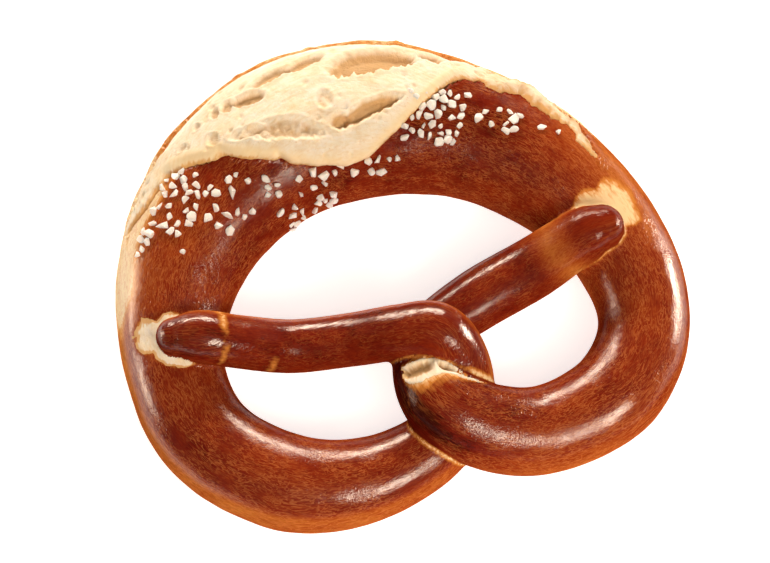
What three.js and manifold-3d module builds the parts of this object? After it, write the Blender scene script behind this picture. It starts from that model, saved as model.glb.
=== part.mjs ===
// A soft pretzel: one rope of dough, thick in the belly and thin at the tips, laid in a ring, crossed
// twice in front and folded back so that both tips rest on the ring. Millimetres, +Z up, lying on the
// plane z = 0, with the belly towards +Y. The rope is swept in four runs, which are joined into one
// solid and cut flat underneath.
import * as THREE from "three";
import { mergeVertices } from "three/addons/utils/BufferGeometryUtils.js";
import Module from "manifold-3d";

// ---- Driving dimensions ----
const BELLY = 44; // the rope's width in the middle of the belly
const LOOP = 26.5; // its width in the two front loops
const ARM = 16; // its width in the two arms
const TIP = 11; // its width just before a rounded tip
const SINK = 0.07; // share of the width that the tray has flattened away
const SLUMP = 0.0032; // how much lower a wide rope bakes than a thin one, per millimetre of width
const FULL_HEIGHT = 0.98; // height over width of a very thin rope
const SQUARENESS = 2.4; // exponent of the lower half of the section, 2 being an ellipse
const TRAY = 400; // side of the tray that cuts the dough flat

// ---- Fineness of the facets ----
const RING_STEP = 4.6; // between sections of the ring
const ARM_STEP = 3.2; // between sections of the arms
const CRUMB_SIDES = 8; // facets across the burst
const CRUST_SIDES = 18; // facets across the rest of a section
const CAP_RINGS = 4; // sections that round off a tip

// ---- The route of the rope ----
// Each landmark is [x, y, width, lift]: lift is how far the underside stands above the tray.
const ROUTE = [
  [-64.7, -8.7, TIP, 22.5], // left tip, pressed into the ring
  [-59, -10, 0.9 * ARM, 21.5],
  [-48, -12.7, 0.94 * ARM, 16], // the arm drapes over the ring's inner edge
  [-33, -15.2, 0.96 * ARM, 8],
  [-16, -17.7, 0.96 * ARM, 9], // middle of the left arm
  [-3, -20.7, ARM, 14.5],
  [7, -24, 1.09 * ARM, 16], // the left arm crosses over the right one
  [11.7, -32, 1.09 * ARM, 9.5],
  [10, -42, 1.15 * ARM, 3], // and dives under the other strand
  [0.3, -51.5, 0.77 * LOOP, 1],
  [-19.8, -57.1, 0.9 * LOOP, 0],
  [-42.3, -53.4, 1.03 * LOOP, 0], // left loop
  [-62.7, -34.7, 1.04 * LOOP, 0],
  [-67.3, -10, 1.09 * LOOP, 0], // left side, under the left tip
  [-59.5, 15.8, 0.82 * BELLY, 0],
  [-42.6, 35, 0.95 * BELLY, 0],
  [-18.5, 46.8, 1.03 * BELLY, 0], // belly
  [7, 46.6, 1.01 * BELLY, 0],
  [33.2, 36.6, 0.88 * BELLY, 0],
  [52.7, 19.6, 0.79 * BELLY, 0],
  [65.9, -4.1, 0.69 * BELLY, 0], // right side, under the right tip
  [67.6, -31.2, LOOP, 0],
  [54, -49.5, LOOP, 0],
  [31, -55.3, 0.95 * LOOP, 0], // right loop
  [14, -51.5, 0.92 * LOOP, 6],
  [3.3, -43, 0.82 * LOOP, 12], // climbs over the other strand
  [1.3, -32, 1.12 * ARM, 9],
  [6, -20, ARM, 2.5], // and passes under the left arm
  [21.9, -13, 1.12 * ARM, 2.3],
  [40, -8.9, 1.12 * ARM, 7.5], // middle of the right arm
  [52.6, -6.6, ARM, 17],
  [57.4, -6, 0.92 * ARM, 20.6],
  [60.5, -5.7, 0.8 * ARM, 21.5], // right tip
];
const LEFT_CUT = 7; // landmarks where one run ends and the next starts
const BELLY_CUT = 16;
const RIGHT_CUT = 25;

// ---- The burst, where the scored crust has torn open along the back of the belly ----
// Each row is [distance along the rope from the belly's middle, back lip, front lip, swell]. The lips are
// angles up from the outer side of the rope, in degrees. Swell is how far the crumb stands out of it.
const BURST = [
  [-96, 14, 34, 0],
  [-74, 4, 47, 0.3],
  [-50, 6, 56, 0.9],
  [-28, 12, 102, 3.8],
  [-6, 16, 140, 3.8],
  [12, 14, 128, 3.2],
  [26, 6, 88, 1.6],
  [40, 2, 46, 2],
  [74, 0, 36, 1.6],
  [94, 12, 30, 0],
];
const LIP_STEP = 0.9; // the crumb drops this far below the crust at a lip
const LIP_HALF_WIDTH = 1.3; // degrees on either side of a lip's line
const FLARE = 1.6; // the back lip turns out by this much
const FLARE_SPREAD = 26; // degrees over which it turns out
const HOLLOWS = 2; // long torn hollows side by side across the crumb
const HOLLOW_DEPTH = 0.7;
const HOLLOW_SLANT = 60; // length of rope over which they drift across by one

const degrees = THREE.MathUtils.degToRad;

// ---- The rope's centreline and its sections ----
const heightRatio = (width) => FULL_HEIGHT - SLUMP * width;
const centreHeight = (width, lift) => lift + width * (heightRatio(width) / 2 - SINK);

const centreline = new THREE.CatmullRomCurve3(
  ROUTE.map(([x, y, width, lift]) => new THREE.Vector3(x, y, centreHeight(width, lift))),
);
const widths = new THREE.CatmullRomCurve3(
  ROUTE.map(([, , width]) => new THREE.Vector3(width, 0, 0)),
  false,
  "catmullrom",
);
const SPANS = ROUTE.length - 1;
const LENGTH_SAMPLES = 20 * SPANS;
const lengths = centreline.getLengths(LENGTH_SAMPLES);

// The length of rope from its left tip to a place. A place is a landmark's number, or between two.
function distanceTo(place) {
  const at = (place / SPANS) * LENGTH_SAMPLES;
  const below = Math.min(Math.floor(at), LENGTH_SAMPLES - 1);
  return THREE.MathUtils.lerp(lengths[below], lengths[below + 1], at - below);
}
const bellyMiddle = distanceTo(BELLY_CUT + 0.5);

// Centre, width and directions of the rope at a place: out points away from the ring, up is across it.
function ropeAt(place) {
  const t = place / SPANS;
  const tangent = centreline.getTangent(t);
  const out = new THREE.Vector3(0, 0, 1).cross(tangent).normalize();
  return {
    centre: centreline.getPoint(t),
    width: widths.getPoint(t).x,
    tangent,
    out,
    up: tangent.clone().cross(out),
  };
}

// A row of the BURST table at any distance, with smooth steps between its rows.
function burstAt(distance) {
  const next = BURST.findIndex(([from]) => from > distance);
  if (next === 0) return BURST[0].slice(1);
  if (next < 0) return BURST.at(-1).slice(1);
  const [start, ...low] = BURST[next - 1];
  const [end, ...high] = BURST[next];
  const share = THREE.MathUtils.smoothstep(distance, start, end);
  return low.map((value, k) => THREE.MathUtils.lerp(value, high[k], share));
}

// A point of the section of a rope, by angle, pushed out from it by an extra distance.
function sectionPoint({ centre, width, out, up }, angle, extra = 0) {
  const [c, s] = [Math.cos(angle), Math.sin(angle)];
  const power = s < 0 ? 2 / SQUARENESS : 1;
  const radius = width / 2 + extra;
  const across = Math.sign(c) * Math.abs(c) ** power * radius;
  const above = Math.sign(s) * Math.abs(s) ** power * radius * heightRatio(width);
  return centre.clone().addScaledVector(out, across).addScaledVector(up, above);
}

// A whole section: the crumb between its two lips, a step at each lip, and the crust all the way round.
function sectionOf(rope, distance) {
  const [back, front, swell] = burstAt(distance);
  const open = Math.min(1, swell);
  const points = [];
  for (let k = 0; k <= CRUMB_SIDES; k++) {
    const share = k / CRUMB_SIDES;
    const angle = THREE.MathUtils.lerp(back + LIP_HALF_WIDTH, front - LIP_HALF_WIDTH, share);
    const crown = Math.sin(Math.PI * share);
    const wave = Math.cos(2 * Math.PI * (HOLLOWS * share + distance / HOLLOW_SLANT));
    const rise = (swell + HOLLOW_DEPTH * open * wave) * crown;
    points.push(sectionPoint(rope, degrees(angle), rise - LIP_STEP * open * (1 - crown)));
  }
  for (let k = 0; k <= CRUST_SIDES; k++) {
    const share = k / CRUST_SIDES;
    const angle = THREE.MathUtils.lerp(front + LIP_HALF_WIDTH, back - LIP_HALF_WIDTH + 360, share);
    const nearBack = THREE.MathUtils.smoothstep(angle, back + 360 - FLARE_SPREAD, back + 360);
    points.push(sectionPoint(rope, degrees(angle), FLARE * open * nearBack));
  }
  return points;
}

// ---- From sections to solids ----
const wasm = await Module();
wasm.setup();

// A closed solid through a row of sections with the same number of points, with a flat fan at each end.
function loft(sections) {
  const sides = sections[0].length;
  const last = sections.length - 1;
  const middle = (points) =>
    points.reduce((sum, p) => sum.add(p), new THREE.Vector3()).divideScalar(sides);
  const vertices = [...sections.flat(), middle(sections[0]), middle(sections[last])];
  const startFan = sections.length * sides;
  const triangles = [];
  for (let row = 0; row < last; row++) {
    for (let k = 0; k < sides; k++) {
      const [a, b] = [row * sides + k, row * sides + ((k + 1) % sides)];
      triangles.push(a, b, a + sides, b, b + sides, a + sides);
    }
  }
  for (let k = 0; k < sides; k++) {
    const next = (k + 1) % sides;
    triangles.push(startFan, next, k);
    triangles.push(startFan + 1, last * sides + k, last * sides + next);
  }
  const geometry = new THREE.BufferGeometry().setFromPoints(vertices);
  geometry.setIndex(triangles);
  return solidOf(geometry);
}

function solidOf(geometry) {
  const bare = new THREE.BufferGeometry().setAttribute("position", geometry.getAttribute("position"));
  bare.setIndex(geometry.index);
  const merged = mergeVertices(bare);
  return new wasm.Manifold(
    new wasm.Mesh({
      numProp: 3,
      vertProperties: new Float32Array(merged.attributes.position.array),
      triVerts: new Uint32Array(merged.index.array),
    }),
  );
}

// The places between two landmarks, about one step of rope apart.
function placesBetween(from, to, step) {
  const count = Math.round(Math.abs(distanceTo(to) - distanceTo(from)) / step);
  return Array.from({ length: count + 1 }, (_, k) => THREE.MathUtils.lerp(from, to, k / count));
}

function sectionAt(place) {
  return sectionOf(ropeAt(place), distanceTo(place) - bellyMiddle);
}

function ringRun(from, to) {
  return loft(placesBetween(from, to, RING_STEP).map(sectionAt));
}

// An arm from its rounded tip, at landmark tip, to the landmark where it meets the ring's run.
function armRun(tip, root) {
  const inward = Math.sign(root - tip);
  const end = ropeAt(tip);
  const sections = [];
  for (let k = CAP_RINGS; k >= 1; k--) {
    const turn = (Math.PI / 2) * (k / (CAP_RINGS + 0.5));
    const reach = (-inward * Math.sin(turn) * end.width) / 2;
    const centre = end.centre.clone().addScaledVector(end.tangent, reach);
    const smaller = { ...end, centre, width: end.width * Math.cos(turn) };
    sections.push(sectionOf(smaller, distanceTo(tip) - bellyMiddle));
  }
  sections.push(...placesBetween(tip, root, ARM_STEP).map(sectionAt));
  return loft(inward > 0 ? sections : sections.reverse());
}

// ---- The dough as one solid, cut flat where it lay on the tray ----
function dough() {
  const runs = [
    armRun(0, LEFT_CUT),
    ringRun(LEFT_CUT, BELLY_CUT),
    ringRun(BELLY_CUT, RIGHT_CUT),
    armRun(SPANS, RIGHT_CUT),
  ];
  const whole = runs.reduce((sum, run) => sum.add(run));
  const tray = new THREE.BoxGeometry(TRAY, TRAY, BELLY).translate(0, 0, -BELLY / 2);
  // Slivers a millionth of a cubic millimetre large are left inside where two runs meet.
  const shells = whole.subtract(solidOf(tray)).decompose();
  return shells.sort((a, b) => b.volume() - a.volume())[0];
}

function geometryOf(solid) {
  const { numProp, vertProperties, triVerts } = solid.getMesh();
  const positions = new Float32Array((vertProperties.length / numProp) * 3);
  for (let i = 0; i < positions.length / 3; i++) {
    positions.set(vertProperties.subarray(i * numProp, i * numProp + 3), i * 3);
  }
  const geometry = new THREE.BufferGeometry();
  geometry.setAttribute("position", new THREE.BufferAttribute(positions, 3));
  geometry.setIndex(new THREE.BufferAttribute(triVerts, 1));
  return geometry;
}

// The origin is on the tray, in the middle of the pretzel's outline.
function centred(geometry) {
  geometry.computeBoundingBox();
  const middle = geometry.boundingBox.getCenter(new THREE.Vector3());
  geometry.translate(-middle.x, -middle.y, 0);
  geometry.computeVertexNormals();
  return geometry;
}

const crust = new THREE.MeshStandardMaterial({ color: 0x8c3a12, roughness: 0.35, metalness: 0 });
const pretzel = new THREE.Mesh(centred(geometryOf(dough())), crust);
pretzel.name = "pretzel";

const part = new THREE.Group();
part.add(pretzel);
export default part;
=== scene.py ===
# %% [markdown]
# # A soft pretzel
# A baker rolls one rope of dough, thick in the middle and thin at both ends, crosses the ends twice and
# presses them onto the ring. Lye makes the crust brown and shiny, and the fat belly is scored, so that it
# bursts open in the oven and shows its pale crumb. This file makes that pretzel around a ready made solid,
# which gives its size and its place. Lengths are in millimetres while the shapes are worked out, because a
# baker would think so, and in metres in the meshes, because Blender does.

# %% Load the solid
import math
import random

import bmesh
import bpy
import numpy as np
from mathutils import Matrix, Vector, noise
from mathutils.bvhtree import BVHTree


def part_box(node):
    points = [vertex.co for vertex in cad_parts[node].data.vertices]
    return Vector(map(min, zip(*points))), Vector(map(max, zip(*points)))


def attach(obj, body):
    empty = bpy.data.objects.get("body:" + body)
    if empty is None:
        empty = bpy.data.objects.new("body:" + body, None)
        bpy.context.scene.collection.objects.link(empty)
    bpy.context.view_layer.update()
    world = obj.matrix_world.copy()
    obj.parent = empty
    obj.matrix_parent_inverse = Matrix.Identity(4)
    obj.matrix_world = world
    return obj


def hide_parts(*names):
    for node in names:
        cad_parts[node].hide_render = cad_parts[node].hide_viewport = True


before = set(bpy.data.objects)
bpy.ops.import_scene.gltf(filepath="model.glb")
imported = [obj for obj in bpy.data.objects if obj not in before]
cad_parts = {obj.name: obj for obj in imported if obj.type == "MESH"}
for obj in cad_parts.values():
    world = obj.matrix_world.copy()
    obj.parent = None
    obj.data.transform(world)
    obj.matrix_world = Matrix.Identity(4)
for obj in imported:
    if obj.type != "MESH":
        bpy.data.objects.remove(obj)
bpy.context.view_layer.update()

MM = 0.001
cad_low, cad_high = (np.array(corner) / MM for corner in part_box("pretzel"))
print("the solid is", np.round(cad_high - cad_low, 1), "mm")

# %% [markdown]
# ## The rope
# The pretzel is one rope, so everything is easier to place by two numbers: how far along the rope it is and
# how far round it. The route goes from the left tip, through the twist, round the ring, through the twist
# again and on to the right tip. Each landmark holds x, y, the rope's width and the lift of its underside.
# A smooth curve goes through the landmarks. Blender's own curves could draw it, but here the numbers are
# needed as well as the drawing, so the curve is worked out with numpy.

# %% The route of the rope
BELLY, LOOP, ARM, TIP = 44.0, 26.5, 16.0, 11.0
ROUTE = [
    (-64.7, -8.7, TIP, 22.5),  # left tip, pressed into the ring
    (-59, -10, 0.9 * ARM, 21.5),
    (-48, -12.7, 0.94 * ARM, 16),
    (-33, -15.2, 0.96 * ARM, 8),
    (-16, -17.7, 0.96 * ARM, 9),  # middle of the left arm
    (-3, -20.7, ARM, 14.5),
    (7, -24, 1.09 * ARM, 16),  # the left arm crosses over the right one
    (11.7, -32, 1.09 * ARM, 9.5),
    (10, -42, 1.15 * ARM, 3),  # and dives under the other strand
    (0.3, -51.5, 0.77 * LOOP, 1),
    (-19.8, -57.1, 0.9 * LOOP, 0),
    (-42.3, -53.4, 1.03 * LOOP, 0),  # left loop
    (-62.7, -34.7, 1.04 * LOOP, 0),
    (-67.3, -10, 1.09 * LOOP, 0),  # left side
    (-59.5, 15.8, 0.82 * BELLY, 0),
    (-42.6, 35, 0.95 * BELLY, 0),
    (-18.5, 46.8, 1.03 * BELLY, 0),  # belly
    (7, 46.6, 1.01 * BELLY, 0),
    (33.2, 36.6, 0.88 * BELLY, 0),
    (52.7, 19.6, 0.79 * BELLY, 0),
    (65.9, -4.1, 0.69 * BELLY, 0),  # right side
    (67.6, -31.2, LOOP, 0),
    (54, -49.5, LOOP, 0),
    (31, -55.3, 0.95 * LOOP, 0),  # right loop
    (14, -51.5, 0.92 * LOOP, 6),
    (3.3, -43, 0.82 * LOOP, 12),  # climbs over the other strand
    (1.3, -32, 1.12 * ARM, 9),
    (6, -20, ARM, 2.5),
    (21.9, -13, 1.12 * ARM, 2.3),
    (40, -8.9, 1.12 * ARM, 7.5),  # middle of the right arm
    (52.6, -6.6, ARM, 17),
    (57.4, -6, 0.92 * ARM, 20.6),
    (60.5, -5.7, 0.8 * ARM, 21.5),  # right tip
]
MIDDLE_OF_BELLY = 16.5  # half way between two landmarks
SINK = 0.07  # share of the width that the tray has flattened away


def height_ratio(width):
    """How high the rope is for its width: thick dough sags more."""
    return 0.98 - 0.0032 * width


def smooth_through(points, steps):
    """A curve through points, without loops or overshoots: a centripetal Catmull-Rom curve."""
    points = np.vstack([2 * points[0] - points[1], points, 2 * points[-1] - points[-2]])
    share = np.linspace(0, 1, steps, endpoint=False)[:, None]
    pieces = []
    for a, b, c, d in zip(points, points[1:], points[2:], points[3:]):
        ab, bc, cd = (np.linalg.norm((q - p)[:3]) ** 0.5 for p, q in ((a, b), (b, c), (c, d)))
        leave = ((b - a) / ab - (c - a) / (ab + bc) + (c - b) / bc) * bc
        arrive = ((c - b) / bc - (d - b) / (bc + cd) + (d - c) / cd) * bc
        square, cube = share**2, share**3
        pieces.append(
            (2 * cube - 3 * square + 1) * b
            + (cube - 2 * square + share) * leave
            + (3 * square - 2 * cube) * c
            + (cube - square) * arrive
        )
    return np.vstack(pieces + [points[-2:-1]])


CURVE_STEPS = 60
landmarks = np.array(ROUTE, float)
lift, width = landmarks[:, 3].copy(), landmarks[:, 2].copy()
landmarks[:, 2] = lift + width * (height_ratio(width) / 2 - SINK)
landmarks[:, 3] = width
rope_line = smooth_through(landmarks, CURVE_STEPS)
rope_run = np.append(0, np.cumsum(np.linalg.norm(np.diff(rope_line[:, :3], axis=0), axis=1)))
rope_run -= rope_run[int(MIDDLE_OF_BELLY * CURVE_STEPS)]
LEFT_END, RIGHT_END = rope_run[0], rope_run[-1]
print("the rope is", round(RIGHT_END - LEFT_END), "mm long")

# %% [markdown]
# From the curve come two helpers. The first gives the rope's centre, width and three directions at any
# distance along it: forward, out of the ring, and up across it. The second gives a point on the skin, with
# the angle counted from the outer side over the top, and lets it stand out of the skin or sink below it.

# %% The rope's skin by distance and angle
SQUARENESS = 2.4  # the lower half of the section is a little squarer than an ellipse
NEARBY = 0.3  # the rope's direction is taken between two points this far to each side


def rope_at(distance):
    """The rope's centre and width there, and the directions forward, out of the ring and up."""

    def at(where):
        return np.stack([np.interp(where, rope_run, rope_line[:, k]) for k in range(4)], -1)

    here = at(distance)
    forward = (at(distance + NEARBY) - at(distance - NEARBY))[..., :3]
    forward /= np.linalg.norm(forward, axis=-1, keepdims=True)
    out = np.cross([0.0, 0.0, 1.0], forward)
    out /= np.linalg.norm(out, axis=-1, keepdims=True)
    return here[..., :3], here[..., 3], forward, out, np.cross(forward, out)


def skin(distance, angle, stand=0.0):
    """The point of the skin at this distance and angle, or one that stands out of it."""
    centre, width, _, out, up = rope_at(np.asarray(distance, float))
    c, s = np.cos(np.radians(angle)), np.sin(np.radians(angle))
    power = np.where(s < 0, 2 / SQUARENESS, 1.0)
    radius = width / 2 + stand
    across = np.sign(c) * np.abs(c) ** power * radius
    above = np.sign(s) * np.abs(s) ** power * radius * height_ratio(width)
    return centre + out * across[..., None] + up * above[..., None]


plain = skin(*np.meshgrid(rope_run, np.arange(0, 360, 10.0), indexing="ij"))
low, high = plain.reshape(-1, 3).min(0), plain.reshape(-1, 3).max(0)
shift = np.array([(cad_low[0] + cad_high[0] - low[0] - high[0]) / 2, cad_low[1] - low[1], 0])
rope_line[:, :3] += shift
print("moved the rope onto the solid by", np.round(shift, 2), "mm")

# %% [markdown]
# ## Small tools
# A few helpers are used by every piece: a soft step from 0 to 1, a soft bell, and lumpy noise. Noise makes
# baked things believable, because no two spots of a crust are alike. Blender's noise is the same on every
# run, so the pretzel is too.

# %% Steps, bells and lumps
def step(start, end, value):
    """0 up to the start and 1 from the end on, with a soft rise or fall between."""
    share = np.clip((value - start) / (end - start), 0, 1)
    return share * share * (3 - 2 * share)


def lumps(points, size, seed=0.0):
    """Noise from about -1 to 1 at each point, with lumps of about this size."""
    offset = Vector((seed, 1.7 * seed, -0.6 * seed))
    flat = np.asarray(points, float).reshape(-1, 3) / size
    values = np.array([noise.noise(Vector(point) + offset) for point in flat.tolist()])
    return values.reshape(np.shape(points)[:-1])


def bell(value, centre, spread):
    """1 at the centre, falling to nothing on both sides."""
    return np.exp(-(((value - centre) / spread) ** 2))


def in_a_row(values):
    """Points on a straight line, to read noise at."""
    return np.stack([values, 0 * values, 0 * values], -1)


def radius_at(distance):
    """Half the rope's width."""
    return np.interp(distance, rope_run, rope_line[:, 3]) / 2


def rolled_out(distance, angle, radius):
    """The skin laid out flat: how far along the rope a place is, and how far round it, in millimetres."""
    return np.stack([distance, np.radians(angle) * radius, 0 * distance], -1)


# %% [markdown]
# Then come the helpers for meshes. Points are worked out in rows, for example ring after ring along the
# rope, and neighbouring rows are joined by faces with four corners. Whatever the materials have to know
# about a point, such as how brown it is, is stored in the mesh under a name.

# %% Meshes from rows of points
def quads(rows, columns):
    """Faces between closed rows of points, in which the last point is joined to the first."""
    row, column = np.meshgrid(np.arange(rows - 1), np.arange(columns), indexing="ij")
    after = (column + 1) % columns
    corners = (row * columns + column, row * columns + after)
    return np.stack([*corners, corners[1] + columns, corners[0] + columns], -1).reshape(-1, 4)


def tube(name, rings):
    """A closed mesh through rings of points, with a flat face at each end."""
    rows, columns = rings.shape[:2]
    faces = quads(rows, columns).tolist()
    faces.append(list(range(columns))[::-1])
    faces.append(list(range((rows - 1) * columns, rows * columns)))
    mesh = bpy.data.meshes.new(name)
    mesh.from_pydata((rings.reshape(-1, 3) * MM).tolist(), [], faces)
    mesh.validate()
    return mesh


def add_piece(name, mesh, smooth=True):
    piece = bpy.data.objects.new(name, mesh)
    bpy.context.scene.collection.objects.link(piece)
    mesh.polygons.foreach_set("use_smooth", [smooth] * len(mesh.polygons))
    return piece


def applied(piece):
    """The piece's mesh with its modifiers made real."""
    graph = bpy.context.evaluated_depsgraph_get()
    mesh = bpy.data.meshes.new_from_object(piece.evaluated_get(graph))
    piece.modifiers.clear()
    piece.data = mesh
    return mesh


def get_points(mesh):
    flat = np.empty(len(mesh.vertices) * 3, np.float32)
    mesh.vertices.foreach_get("co", flat)
    return flat.reshape(-1, 3).astype(float) / MM


def set_points(mesh, points):
    mesh.vertices.foreach_set("co", (points * MM).astype(np.float32).ravel())
    mesh.update()


def store(mesh, name, values):
    """Keep a number or a place for every point, for the materials to read."""
    values = np.asarray(values, np.float32).reshape(len(mesh.vertices), -1)
    kind, field = {1: ("FLOAT", "value"), 3: ("FLOAT_VECTOR", "vector")}[values.shape[1]]
    attribute = mesh.attributes.new(name, kind, "POINT")
    attribute.data.foreach_set(field, values.ravel())


def wrapped(top, under):
    """Rows that go over the top and back along the underside, as a closed tube needs them."""
    return np.concatenate([top, under], 1)[::-1]


def closed_grid(name, top, under, layers):
    """A closed piece with this top and underside. The layers are for the top; underneath they are 0."""
    piece = add_piece(name, tube(name, wrapped(top, under)))
    for layer, values in layers.items():
        hidden = np.zeros(under.shape[:2] + values.shape[2:])
        store(piece.data, layer, wrapped(values, hidden))
    print(name, "has", len(piece.data.polygons), "faces")
    return piece


# %% [markdown]
# ## One body of dough
# Where the strands cross and where the tips are pressed down, the dough bakes into one body. The rope is
# swept as a single tube that runs through itself at the crossings, and a voxel Remesh makes one clean skin
# around it. Joining the strands with booleans would keep hard creases, and the remesh gives even little
# faces that can be moved afterwards, as if the dough were sculpted.

# %% Sweep the rope and fuse it
RING_STEP = 1.2  # a ring of points every so often
SIDES = 64  # points in a ring
CAP_RINGS = 6  # rings that round off each tip
VOXEL = 0.85  # about the size of the new faces

distances = np.arange(LEFT_END, RIGHT_END, RING_STEP)
angles = np.arange(0, 360, 360 / SIDES)
body_rings = skin(*np.meshgrid(distances, angles, indexing="ij"))


def cap(distance, way):
    """Rings that round off a tip; way is -1 at the left end of the rope and 1 at the right end."""
    centre, width, forward, _, _ = rope_at(np.float64(distance))
    turns = np.radians(np.linspace(15, 85, CAP_RINGS))
    ring = skin(np.full(SIDES, distance), angles)
    tip = forward * way * width / 2
    return np.array([centre + (ring - centre) * math.cos(t) + tip * math.sin(t) for t in turns])


rings = np.vstack([cap(distances[0], -1)[::-1], body_rings, cap(distances[-1], 1)])
dough = add_piece("dough", tube("dough", rings))
fuse = dough.modifiers.new("fuse", "REMESH")
fuse.mode = "VOXEL"
fuse.voxel_size = VOXEL * MM
applied(dough)
print("the fused dough has", len(dough.data.polygons), "faces")

# %% [markdown]
# Every point of the new skin needs to know where on the rope it lies. It belongs to the stretch of rope
# whose surface is nearest. How far it is from the next strand matters as well: next to nothing means that
# it lies in a crease, where two strands of dough are stuck together.

# %% Find each point's place on the rope
STATION_STEP = 1.0  # places along the rope that points are compared with
OTHER_STRAND = 45.0  # rope this far along counts as another strand
CHUNK = 4000  # points worked on at a time, to save memory

stations = np.arange(LEFT_END, RIGHT_END, STATION_STEP)
centre, width, forward, out, up = rope_at(stations)
half, tall = width / 2, width / 2 * height_ratio(width)


def place_on_rope(points):
    """Distance along the rope, angle, and how far the next strand is. Between stations it interpolates."""
    along, angle, other = (np.empty(len(points)) for _ in range(3))
    for start in range(0, len(points), CHUNK):
        part = points[start : start + CHUNK]
        n, b, t = (part @ axes.T - (centre * axes).sum(1) for axes in (out, up, forward))
        surface = (np.sqrt((n / half) ** 2 + (b / tall) ** 2 + (t / half) ** 2) - 1) * half
        nearest = surface.argmin(1)
        pick = (np.arange(len(part)), nearest)
        beside = (pick[0], np.clip(nearest + np.where(t[pick] > 0, 1, -1), 0, len(stations) - 1))
        between = np.clip(t[pick] / np.where(t[pick] == t[beside], 1, t[pick] - t[beside]), 0, 1)
        here = slice(start, start + len(part))
        along[here] = stations[nearest] * (1 - between) + stations[beside[1]] * between
        across, over = (axis[pick] * (1 - between) + axis[beside] * between for axis in (n, b))
        angle[here] = np.degrees(np.arctan2(over, across))
        surface[np.abs(stations[None] - stations[nearest][:, None]) < OTHER_STRAND] = np.inf
        other[here] = surface.min(1)
    angle[angle < -90] += 360
    return along, angle, other


points = get_points(dough.data)
along, angle, other = place_on_rope(points)
print("creases:", int((other < 1).sum()), "points less than 1 mm from another strand")

# %% [markdown]
# ## Where dough met dough
# Next to a crease the lye didn't reach, or the oven pulled the strands apart, and pale dough shows. A table
# says how wide it is at each spot. Below the twist the strands have torn apart much further, right across
# the lower one, and that tear has an edge of its own.

# %% Seams and the tear
# distance along the rope, angle, how far the pale zone reaches, how wide it is beside the crease
SEAMS = [
    (-87, 50, 8, 6.8),  # beyond the left tip
    (-96, 84, 9, 2.6),  # along its lower side
    (-81, 80, 8, 2.1),  # and along its upper side
    (-300, 90, 9, 0.8),  # on the left tip itself
    (86, 62, 9, 8.8),  # the pale crescent beyond the right tip
    (93, 64, 6, 6.5),  # which goes on round the tip
    (83, 92, 8, 4.8),
    (100, 84, 7, 1.2),  # a thin pale line on the tip's lower side
    (103, 125, 9, 0.8),
    (288, 90, 9, 0.6),  # on the right tip itself
    (-186, 84, 20, 1.0),  # where the right loop lies on the left one
    (-214, 52, 8, 1.6),  # the twist's edge at the right end of the tear
]
# angle on the lower strand, where along the rope the tear begins, and how wide it gapes
TEAR = [
    (42, 209.5, 2.8),
    (50, 207.2, 4.4),
    (60, 206.0, 5.6),
    (76, 205.0, 6.2),
    (92, 204.8, 6.2),
    (104, 204.4, 5.8),
    (114, 204.2, 5.6),
    (122, 203.4, 5.6),
    (131, 202.4, 6.0),
    (138, 200.6, 6.4),
    (144, 198.4, 6.6),
    (150, 194.6, 6.8),
]
TEAR_ENDS = (42, 50), (154, 146)  # angles between which the tear begins and ends
TEAR_LENGTH = 14.0  # no part of the tear is further than this from its edge
PLAIN_SEAM = 0.35


def seam_width(distance, angle):
    """Width of the pale zone beside a crease."""
    size = radius_at(distance)
    result = np.full(np.shape(distance), PLAIN_SEAM)
    for spot, spot_angle, reach, wide in SEAMS:
        gap = np.hypot(distance - spot, np.radians(angle - spot_angle) * size)
        result = np.maximum(result, wide * np.exp(-((gap / reach) ** 4)))
    return result


def past_tear(distance, angle):
    """How far a place on the lower strand is past the tear's edge, the tear's width, 0 beyond its ends."""
    tear_angle, tear_start, tear_width = np.array(TEAR).T
    row = in_a_row(angle)
    edge = np.interp(angle, tear_angle, tear_start)
    edge = edge + 0.3 * lumps(row, 9.0, 31.0) + 0.2 * lumps(row, 3.0, 33.0)
    ends = step(*TEAR_ENDS[0], angle) * step(*TEAR_ENDS[1], angle)
    near = np.abs(distance - edge - TEAR_LENGTH / 2) < TEAR_LENGTH
    past = np.where(near, distance - edge, -TEAR_LENGTH)
    return past, np.interp(angle, tear_angle, tear_width), ends


# %% [markdown]
# Dough has no knife-sharp creases, so the skin is smoothed there, and only there. A vertex group holds the
# Smooth modifier to the creases, and the tear is kept sharp.

# %% Round the creases
CREASE = 3.5  # the smoothing fades out this far from the next strand

creases = dough.vertex_groups.new(name="creases")
past, gape, ends = past_tear(along, angle)
torn = step(-2, 0, past) * step(1, 0, past - gape) * ends
softness = np.clip(1 - other / CREASE, 0, 1) * (1 - 0.85 * torn)
for index in np.flatnonzero(softness > 0).tolist():
    creases.add([index], float(softness[index]), "REPLACE")
soften = dough.modifiers.new("soften", "SMOOTH")
soften.vertex_group = creases.name
soften.factor = 0.5
soften.iterations = 6
applied(dough)
dough.vertex_groups.clear()
points = get_points(dough.data)
print("softened", int((softness > 0).sum()), "points beside the creases")

# %% [markdown]
# ## The burst
# A cut along the back of the belly opens in the oven. The crust ends at two lips, and the crumb swells up
# between them. The table gives the lips as angles on the rope, and how far the crumb stands out. The lips
# wander a little, and where the cut runs out to the right they are ragged. Crust and crumb are two pieces
# that read the same table, so the line where they meet stays sharp however fine either mesh is.

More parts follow.
